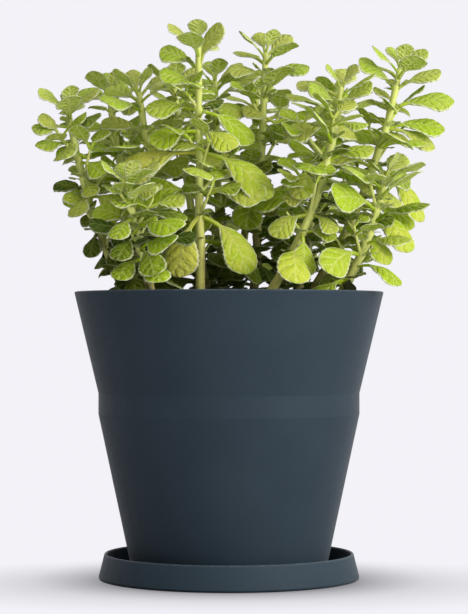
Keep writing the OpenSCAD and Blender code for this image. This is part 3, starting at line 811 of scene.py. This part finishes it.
def leafMaterial(s):
    material, tree = startMaterial("downyLeaf")
    where = ownPlace(tree)
    across, along, half = markParts(tree, "share")
    tone, yellow, under = markParts(tree, "look")
    off = calc(tree, "ABSOLUTE", across)
    offMm = times(tree, off, half)
    # side veins sweep forward from the midrib, those of the two halves set apart
    rightHalf = times(tree, calc(tree, "GREATER_THAN", across, 0.0), 0.5)
    swept = minus(tree, along, times(tree, off, s["veinSweep"]))
    wobble = times(tree, noiseOf(tree, where, s["wobbleSize"]), s["veinWobble"])
    phase = plus(tree, plus(tree, times(tree, swept, s["veins"]), rightHalf), wobble)
    saw = calc(tree, "ABSOLUTE", minus(tree, calc(tree, "FRACT", phase), 0.5))
    onBlade = ramp(tree, along, 0.02, 0.14)
    fading = times(tree, ramp(tree, off, 0.98, 0.6, 0.2, 1.0), onBlade)
    sideVein = times(tree, ramp(tree, saw, 0.385, 0.455), fading)
    midrib = ramp(tree, offMm, *s["midribWide"])
    cells = cellEdges(tree, where, s["netSize"])
    netShare = times(tree, onBlade, ramp(tree, under, 0.0, 1.0, 0.3, 0.7))
    net = times(tree, ramp(tree, cells, 0.12, 0.04), netShare)
    vein = larger(tree, midrib, larger(tree, sideVein, net))
    # colour
    patches = noiseOf(tree, where, s["patchSize"], 4.0, 0.55)
    shade = plus(tree, tone, times(tree, minus(tree, patches, 0.5), 0.7))
    colour = blend(tree, ramp(tree, shade, -0.1, 0.5), s["deep"], s["fresh"])
    colour = blend(tree, ramp(tree, shade, 0.5, 1.0), colour, s["lime"])
    turning = times(tree, yellow, ramp(tree, patches, 0.3, 0.62, 0.35, 1.0))
    colour = blend(tree, turning, colour, s["yellow"])
    colour = blend(tree, times(tree, under, 0.4), colour, s["under"])
    veinShare = times(tree, ramp(tree, under, 0.0, 1.0, 0.6, 1.0), ramp(tree, tone, -0.3, 0.5, 0.3, 1.0))
    colour = blend(tree, times(tree, vein, veinShare), colour, s["vein"])
    hairs = noiseOf(tree, where, s["hairSize"], 2.0, 0.7)
    colour = blend(tree, ramp(tree, hairs, 0.56, 0.74, 0.0, 0.2), colour, s["hair"])
    # pale edge: partly the margin's down, partly a painted highlight, dimmer on darker leaves
    edge = times(tree, ramp(tree, minus(tree, half, offMm), *s["edgeWide"]), onBlade)
    colour = blend(tree, times(tree, edge, ramp(tree, tone, -0.4, 0.6, 0.3, 0.9)), colour, s["edge"])
    downy = times(tree, ramp(tree, yellow, 0.0, -1.0), ramp(tree, hairs, 0.35, 0.65, 0.02, 0.22))
    colour = blend(tree, downy, colour, s["down"])
    # near black where the tone falls below -0.5, mostly through painted shade
    colour = blend(tree, ramp(tree, tone, -0.5, -1.0), colour, s["nearBlack"])
    # the quilting rises between the veins on top and sinks between them beneath
    quilt = plus(tree, ramp(tree, cells, 0.0, 0.35), ramp(tree, saw, 0.5, 0.1, 0.0, 1.6))
    faceWay = ramp(tree, under, 0.0, 1.0, 1.0, -0.8)
    relief = plus(tree, times(tree, times(tree, quilt, faceWay), onBlade), times(tree, hairs, 0.5))
    normal = bumpOf(tree, relief, 0.85, s["skinDeep"])
    skin = addNode(tree, "ShaderNodeBsdfPrincipled", {
        "Base Color": colour, "Roughness": 0.7, "Specular IOR Level": 0.06, "Sheen Weight": 0.1,
        "Sheen Roughness": 0.4, "Sheen Tint": (0.9, 1.0, 0.4, 1), "Normal": normal})
    glow = addNode(tree, "ShaderNodeBsdfTranslucent", {
        "Color": blend(tree, 0.5, colour, s["glow"]), "Normal": normal})
    finishMaterial(tree, mixShaders(tree, s["glowShare"], skin, glow))
    return material


def leafRings(leaf, s, luck):
    large = leaf["size"] > s["smallSize"]
    along, across = (s["alongLarge"], s["acrossLarge"]) if large else (s["alongSmall"], s["acrossSmall"])
    stalk = np.linspace(0, s["stalkShare"], 5)[:-1]
    blade = s["stalkShare"] + (1 - s["stalkShare"]) * np.sin(np.linspace(0, math.pi / 2, along)) ** 1.15
    t = np.concatenate([stalk, blade[:-1]])
    u = np.clip((t - s["stalkShare"]) / (1 - s["stalkShare"]), 0, 1)
    wide, fine = s["broad"] * halfWidth(leaf), leaf["size"] ** 0.5
    teeth = round((1 - s["stalkShare"]) * leaf["size"] * plant["leafL"] / s["toothLong"])
    # spoon-shaped outline, 1 where the blade is widest
    p, q = s["spoon"]
    profile = u ** p * (1 - u) ** q / ((p / (p + q)) ** p * (q / (p + q)) ** q)
    scallop = 1 + s["toothDeep"] * smooth(u / 0.3) * np.cos(2 * math.pi * teeth * u + luck[0])
    half = np.maximum(wide * profile * scallop, s["stalkWide"] / 2 * fine * np.sqrt(1 - u))
    thick = between((s["stalkThick"] / 2, s["bladeThick"] / 2), smooth(u / 0.22))
    thick = thick * fine * np.sqrt(1 - s["tipThin"] * u)
    spread = np.sin(np.linspace(-math.pi / 2, math.pi / 2, across))
    ringAcross = np.concatenate([spread, spread[-2:0:-1]])
    below = np.concatenate([np.zeros(across), np.ones(across - 2)])
    c, h = ringAcross[None], half[:, None]
    onBlade = smooth(u / 0.15)[:, None]
    rise = np.sqrt(np.clip(1 - c ** 8, 0, 1)) * thick[:, None] * (1 - 2 * below)[None]
    rise = rise - s["edgeFall"] * h * c ** 2 * onBlade
    groove = np.exp(-(c * h / s["grooveWide"]) ** 2) * (1 - below)[None]
    rise = rise - s["groove"] * fine * onBlade * groove
    rib = np.exp(-(c * h / s["ribWide"]) ** 2) * below[None]
    rise = rise - s["rib"] * fine * onBlade * (1 - u)[:, None] * rib
    ripple = np.sin(2 * math.pi * (s["waves"] * u[:, None] + luck[1]) + c * 1.4)
    rise = rise + s["wave"] * fine * onBlade * c ** 2 * ripple
    side, face = leafAxes(leaf, t, s["twist"] * (luck[2] - 0.5))
    rings = leafMiddle(leaf, t)[:, None] + (c * h)[..., None] * side[:, None]
    rings = rings + rise[..., None] * face[:, None]
    share = np.stack(np.broadcast_arrays(c, u[:, None], h), -1)
    return rings, leafMiddle(leaf, 1.0), share, np.broadcast_to(below, rings.shape[:2])


def leafLook(leaf, s, luck):
    if leaf["pose"] in s["posedLooks"]:
        return s["posedLooks"][leaf["pose"]]
    if leaf["kind"] == "shade":
        return between(s["shadeTone"], luck[3]), 0.0
    # low leaves turn yellow; painted shade darkens those deep inside, those low on the left and some at
    # random; high ones are downy
    x, y, z = leaf["places"][middlePoint]
    high = leaf["height"]
    deep = fade(high, s["deepHeights"]) * fade(math.hypot(x, y), s["deepRadii"])
    deep = deep * between((s["frontShare"], 1), fade(y, s["deepDepths"]))
    shadeAndShootDarkening = s["randomShadeTone"] if luck[4] < s["randomShadeShare"] and leaf["kind"] != "tip" else 0.0
    shadeAndShootDarkening += s["leftShadeTone"] * fade(x, s["leftEnds"]) * fade(z - plant["soilZ"], s["leftHeights"])
    shadeAndShootDarkening += s["shootTone"] if leaf["kind"] == "shoot" else 0.0
    tone = s["tone"] + s["toneSpread"] * luck[3] + s["toneRise"] * high - s["innerShadeTone"] * deep - shadeAndShootDarkening
    yellow = s["yellowGain"] * fade(high, s["yellowHeights"]) * max(0.0, luck[4] - s["yellowShare"])
    return tone, min(s["yellowMost"], yellow) - fade(high, s["downyHeights"])


def buds(k, s, rng):
    # tiny round leaves in the angles between leaf stalks and stem
    leaves = []
    for i in range(plant["pairs"]):
        for j in range(s["budsEach"]):
            t = pairShare(k, i) + s["budSpread"] * (rng.random() - 0.3)
            turn = pairTurn(k, i) + 360 * (j + rng.random()) / s["budsEach"]
            size = between(s["budSizes"], rng.random())
            root = stemPoint(k, t) + s["budRoot"] * stemRadius(t) * heading(turn)
            rise = between(s["budRises"], rng.random())
            leaves.append(newLeaf(k, 0, t, root, turn, rise, s["budHang"], size, 0, "shoot"))
    return leaves


def shadeLeaves(k, s, rng):
    # leaves low on the inner stems, darkened with painted shade, which close the dark middle of the plant
    leaves = []
    for _ in range(s["shadeLeaves"]):
        t, turn = between(s["shadeHeights"], rng.random()), 360 * rng.random()
        size, rise = between(s["shadeSizes"], rng.random()), between(s["shadeRises"], rng.random())
        leaf = newLeaf(k, 0, t, stalkRoot(k, t, turn), turn, rise, s["shadeHang"], size, 0, "shade")
        x, y, z = leaf["places"].T
        above = z.min() > plant["soilZ"] + s["shadeLift"]
        inside = np.hypot(x, y).max() < plant["soilR"] - s["shadeIn"]
        if above and inside and stemTable[k][1] > s["shadeFront"]:
            leaves.append(leaf)
    return leaves


def buildLeaves(k, s, material, rng):
    leaves = plantLeaves[k] + buds(k, s, rng) + shadeLeaves(k, s, rng)
    skins = Skins(f"foliage_{k + 1}", len(leaves))
    for leaf in leaves:
        luck = rng.random(5)
        rings, tip, share, below = leafRings(leaf, s, luck)
        look = np.zeros(rings.shape)
        look[..., 0], look[..., 1] = leafLook(leaf, s, luck)
        look[..., 2] = below
        skins.add(rings, tip, share, look)
    piece = skins.build(material)
    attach(piece, "plant")
    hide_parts(f"leaves_{k + 1}")


downyLeaf = leafMaterial(leafSet)
leafLuck = np.random.default_rng(7)
for k in stemNumbers:
    buildLeaves(k, leafSet, downyLeaf, leafLuck)
print("leaves built")

# Potting soil: a root ball inside the pot with a crumbly top and a few pale grains
soilSet = {
    "around": 144,
    "topRings": 40,
    "sideRings": 30,
    "lumpHigh": 1.3,
    "sideIn": 0.9,  # how deep the dents in the side are
    "edgeSink": 0.6,
    "middleSink": 0.4,
    "crumbs": 620,
    "crumbSize": (0.9, 2.6),
    "crumbLevels": ((-0.5, 0.5), (-0.1, 1.0), (0.45, 0.75)),  # height and width of a crumb's rings
    "crumbTip": 0.42,  # share of a crumb's size, as the rise
    "crumbRise": 0.2,
    "crumbIn": 3,
    "paleShare": 0.12,
    "dark": (0.020, 0.012, 0.007),
    "brown": (0.075, 0.045, 0.024),
    "root": (0.30, 0.25, 0.16),
    "pale": (0.62, 0.60, 0.54),
    "lumpSize": 2.4 * mm,
    "fineSize": 0.6 * mm,
    "rootGap": 4 * mm,
    "skinDeep": 0.7 * mm,
}


def soilMaterial(s):
    material, tree = startMaterial("pottingSoil")
    where = ownPlace(tree)
    lumps = noiseOf(tree, where, s["lumpSize"], 5.0, 0.65)
    fine = noiseOf(tree, where, s["fineSize"], 3.0, 0.6)
    roots = cellEdges(tree, stretch(tree, where, (1, 1, 0.3)), s["rootGap"])
    colour = blend(tree, ramp(tree, lumps, 0.38, 0.66), s["dark"], s["brown"])
    colour = blend(tree, ramp(tree, roots, 0.035, 0.0, 0.0, 0.55), colour, s["root"])
    colour = blend(tree, markParts(tree, "look")["X"], colour, s["pale"])
    relief = plus(tree, lumps, times(tree, fine, 0.4))
    shader = addNode(tree, "ShaderNodeBsdfPrincipled", {
        "Base Color": colour, "Roughness": 0.88, "Specular IOR Level": 0.25,
        "Normal": bumpOf(tree, relief, 0.9, s["skinDeep"])})
    finishMaterial(tree, shader.outputs[0])
    return material


def soilOutline():
    # half section of the soil's solid, from the frame: its radius at each height
    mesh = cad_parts["soil"].data
    points = np.array([v.co for v in mesh.vertices]) / mm
    heights = np.unique(np.round(points[:, 2], 2))
    radii = [np.hypot(*points[np.abs(points[:, 2] - z) < 0.02][:, :2].T).max() for z in heights]
    return heights, np.array(radii)


def buildSoil(s, material, rng):
    heights, radii = soilOutline()
    z = np.linspace(heights[0], heights[-1], s["sideRings"])
    r = np.interp(z, heights, radii)
    a = 2 * math.pi * np.arange(s["around"]) / s["around"]
    rings = []
    for level, radius in zip(z, r):
        out = radius - s["sideIn"] * rng.random(s["around"]) * (0 if level == z[0] else 1)
        rings.append(np.stack([out * np.cos(a), out * np.sin(a), np.full_like(a, level)], 1))
    rings[-1][:, 2] -= s["edgeSink"]
    for q in range(1, s["topRings"]):
        radius = r[-1] * (1 - q / s["topRings"])
        lump = s["lumpHigh"] * (rng.random(s["around"]) - 0.75)
        rings.append(np.stack([radius * np.cos(a), radius * np.sin(a), z[-1] + lump], 1))
    rings = np.array(rings)
    share, look = tubeMarks(np.linspace(0, 1, len(rings)), s["around"], 0)
    skins = Skins("pottingSoil", 1 + s["crumbs"])
    middle = z[-1] - s["middleSink"]
    skins.add(rings, np.array([0, 0, middle]), share, look)
    for _ in range(s["crumbs"]):
        size = between(s["crumbSize"], rng.random() ** 2)
        out, way = (r[-1] - s["crumbIn"]) * math.sqrt(rng.random()), 2 * math.pi * rng.random()
        centre = np.array([out * math.cos(way), out * math.sin(way), middle + s["crumbRise"] * size])
        b = 2 * math.pi * np.arange(6) / 6 + rng.random()
        grit = np.array([np.stack([np.cos(b) * w, np.sin(b) * w, np.full(6, h)], 1)
                         for h, w in s["crumbLevels"]])
        grit = grit * (0.75 + 0.5 * rng.random((3, 6, 1))) * size / 2
        grit = grit * np.array([1, 0.7 + 0.5 * rng.random(), 0.8])
        share, look = tubeMarks(np.zeros(3), 6, 1.0 if rng.random() < s["paleShare"] else 0.0)
        skins.add((grit + centre)[:, ::-1], centre + upward * size * s["crumbTip"], share, look)
    piece = skins.build(material)
    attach(piece, "plant")
    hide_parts("soil")


buildSoil(soilSet, soilMaterial(soilSet), np.random.default_rng(3))
print("soil built")

# Studio: a pale floor that runs into a pale background, with a shadow painted round the pot; soft light
# that is stronger from the right
studioSet = {
    "paper": (0.896, 0.888, 0.939),  # the background, and the floor as it is seen
    "floorColour": (0.80, 0.792, 0.836),  # the floor as it lights the pot from below
    "floorSize": 12,
    "grainSize": 2 * mm,
    "grainLevel": 0.98,
    "shadowCentre": -0.032,  # y of the middle of the painted shadow round the pot
    "shadowPress": 1.5,  # how many times wider than deep the painted shadow is
    "shadowEnds": (0.08, 0.235),  # radius where it starts to fade, and where it ends
    "shadowDeep": 0.365,  # how much darker its middle is
    "shadowBend": 0.62,  # below 1, it fades faster near the pot
    "shadowShare": 0.15,  # share of the floor's real shadow in its middle
    "footShadeLevel": 0.02,  # painted shade: how much light the floor gives back close to the pot
    "roomLevel": 0.3,  # the background in front of the object, as gloss shows it
    "roomSpan": (-0.4, 0.5),
    "keyWay": (0.86, -0.36, 0.36),  # where the soft light is strongest
    "skySpan": (-0.3, 1.0),
    "skyBright": 1.64,
    "skyDim": 0.22,
    "lampWatts": 5.3,
    "lampSize": 0.5,
    "lampPlace": (0.74, -0.62, 0.46),
    "lampAim": (0, 0, 0.24),
    "contactReach": 0.07,  # metres over which things close to the floor shade it, as painted contact shade
    "floorGloss": 0.4,  # the floor as gloss shows it
}


def seenDirectly(tree):
    path = addNode(tree, "ShaderNodeLightPath").outputs
    through = minus(tree, path["Is Transmission Ray"], path["Is Diffuse Ray"])
    return larger(tree, path["Is Camera Ray"], larger(tree, path["Is Glossy Ray"], through))


def buildWorld(s):
    world = bpy.data.worlds.new("softStudio")
    bpy.context.scene.world = world
    world.use_nodes = True
    tree = world.node_tree
    tree.nodes.clear()
    where = addNode(tree, "ShaderNodeTexCoord").outputs["Generated"]
    towards = addNode(tree, "ShaderNodeVectorMath", {0: where, 1: s["keyWay"]}, operation="DOT_PRODUCT")
    level = ramp(tree, towards.outputs["Value"], *s["skySpan"], s["skyDim"], s["skyBright"])
    light = addNode(tree, "ShaderNodeBackground", {"Color": (1, 1, 1, 1), "Strength": level})
    cameraRay = addNode(tree, "ShaderNodeLightPath").outputs["Is Camera Ray"]
    away = partsOf(tree, where)["Y"]
    behind = larger(tree, cameraRay, ramp(tree, away, *s["roomSpan"], s["roomLevel"], 1.0))
    paper = addNode(tree, "ShaderNodeBackground", {"Color": (*s["paper"], 1), "Strength": behind})
    surface = mixShaders(tree, seenDirectly(tree), light, paper)
    tree.links.new(surface, addNode(tree, "ShaderNodeOutputWorld").inputs["Surface"])


def floorMaterial(s):
    material, tree = startMaterial("paleFloor")
    where = ownPlace(tree)
    # painted shadow round the pot: 0 under the pot, 1 where it ends
    press = s["shadowPress"]
    pressed = addNode(tree, "ShaderNodeMapping", {
        "Vector": where, "Location": (0, -press * s["shadowCentre"], 0), "Scale": (1, press, 1)})
    far = addNode(tree, "ShaderNodeVectorMath", {0: pressed.outputs[0]}, operation="LENGTH")
    away = ramp(tree, far.outputs["Value"], *s["shadowEnds"], kind="LINEAR")
    away = calc(tree, "POWER", away, s["shadowBend"])
    paintedShadow = ramp(tree, away, 0.0, 1.0, 1 - s["shadowDeep"], 1.0, "LINEAR")
    grain = blend(tree, ramp(tree, noiseOf(tree, where, s["grainSize"]), 0.3, 0.7, 0.0, 0.3),
                  s["floorColour"], tuple(s["grainLevel"] * v for v in s["floorColour"]))
    # painted shade: the floor's own colour darkens close to the pot, so it gives back less light
    footWithPaintedShade = ramp(tree, away, 0.0, 1.0, s["footShadeLevel"], 1.0, "LINEAR")
    lit = addNode(tree, "ShaderNodeBsdfDiffuse", {"Color": blend(tree, footWithPaintedShade, (0.0, 0.0, 0.0), grain)})
    # painted contact shade and the painted shadow darken the floor as it is seen
    near = addNode(tree, "ShaderNodeAmbientOcclusion", {"Distance": s["contactReach"]}, samples=8)
    cameraRay = addNode(tree, "ShaderNodeLightPath").outputs["Is Camera Ray"]
    strength = times(tree, times(tree, near.outputs["AO"], paintedShadow), larger(tree, cameraRay, s["floorGloss"]))
    paper = addNode(tree, "ShaderNodeEmission", {"Color": (*s["paper"], 1), "Strength": strength})
    share = ramp(tree, away, 0.0, 1.0, 1 - s["shadowShare"], 1.0, "LINEAR")
    share = times(tree, share, seenDirectly(tree))
    finishMaterial(tree, mixShaders(tree, share, lit, paper))
    return material


def buildFloor(s):
    half = s["floorSize"] / 2
    mesh = bpy.data.meshes.new("paleFloor")
    corners = [(-half, -half, 0), (half, -half, 0), (half, half, 0), (-half, half, 0)]
    mesh.from_pydata(corners, [], [(0, 1, 2, 3)])
    mesh.materials.append(floorMaterial(s))
    addObject("paleFloor", mesh)


def buildLamp(s):
    data = bpy.data.lights.new("softBox", "AREA")
    data.shape, data.size, data.energy = "DISK", s["lampSize"], s["lampWatts"]
    lamp = addObject("softBox", data)
    lamp.location = s["lampPlace"]
    lamp.visible_camera = False
    x, y, z = (p - q for p, q in zip(s["lampPlace"], s["lampAim"]))
    lamp.rotation_euler = (math.atan2(math.hypot(x, y), z), 0, math.atan2(y, x) + math.pi / 2)


buildWorld(studioSet)
buildFloor(studioSet)
buildLamp(studioSet)
bpy.context.scene.view_settings.view_transform = "Standard"
print("studio lit")
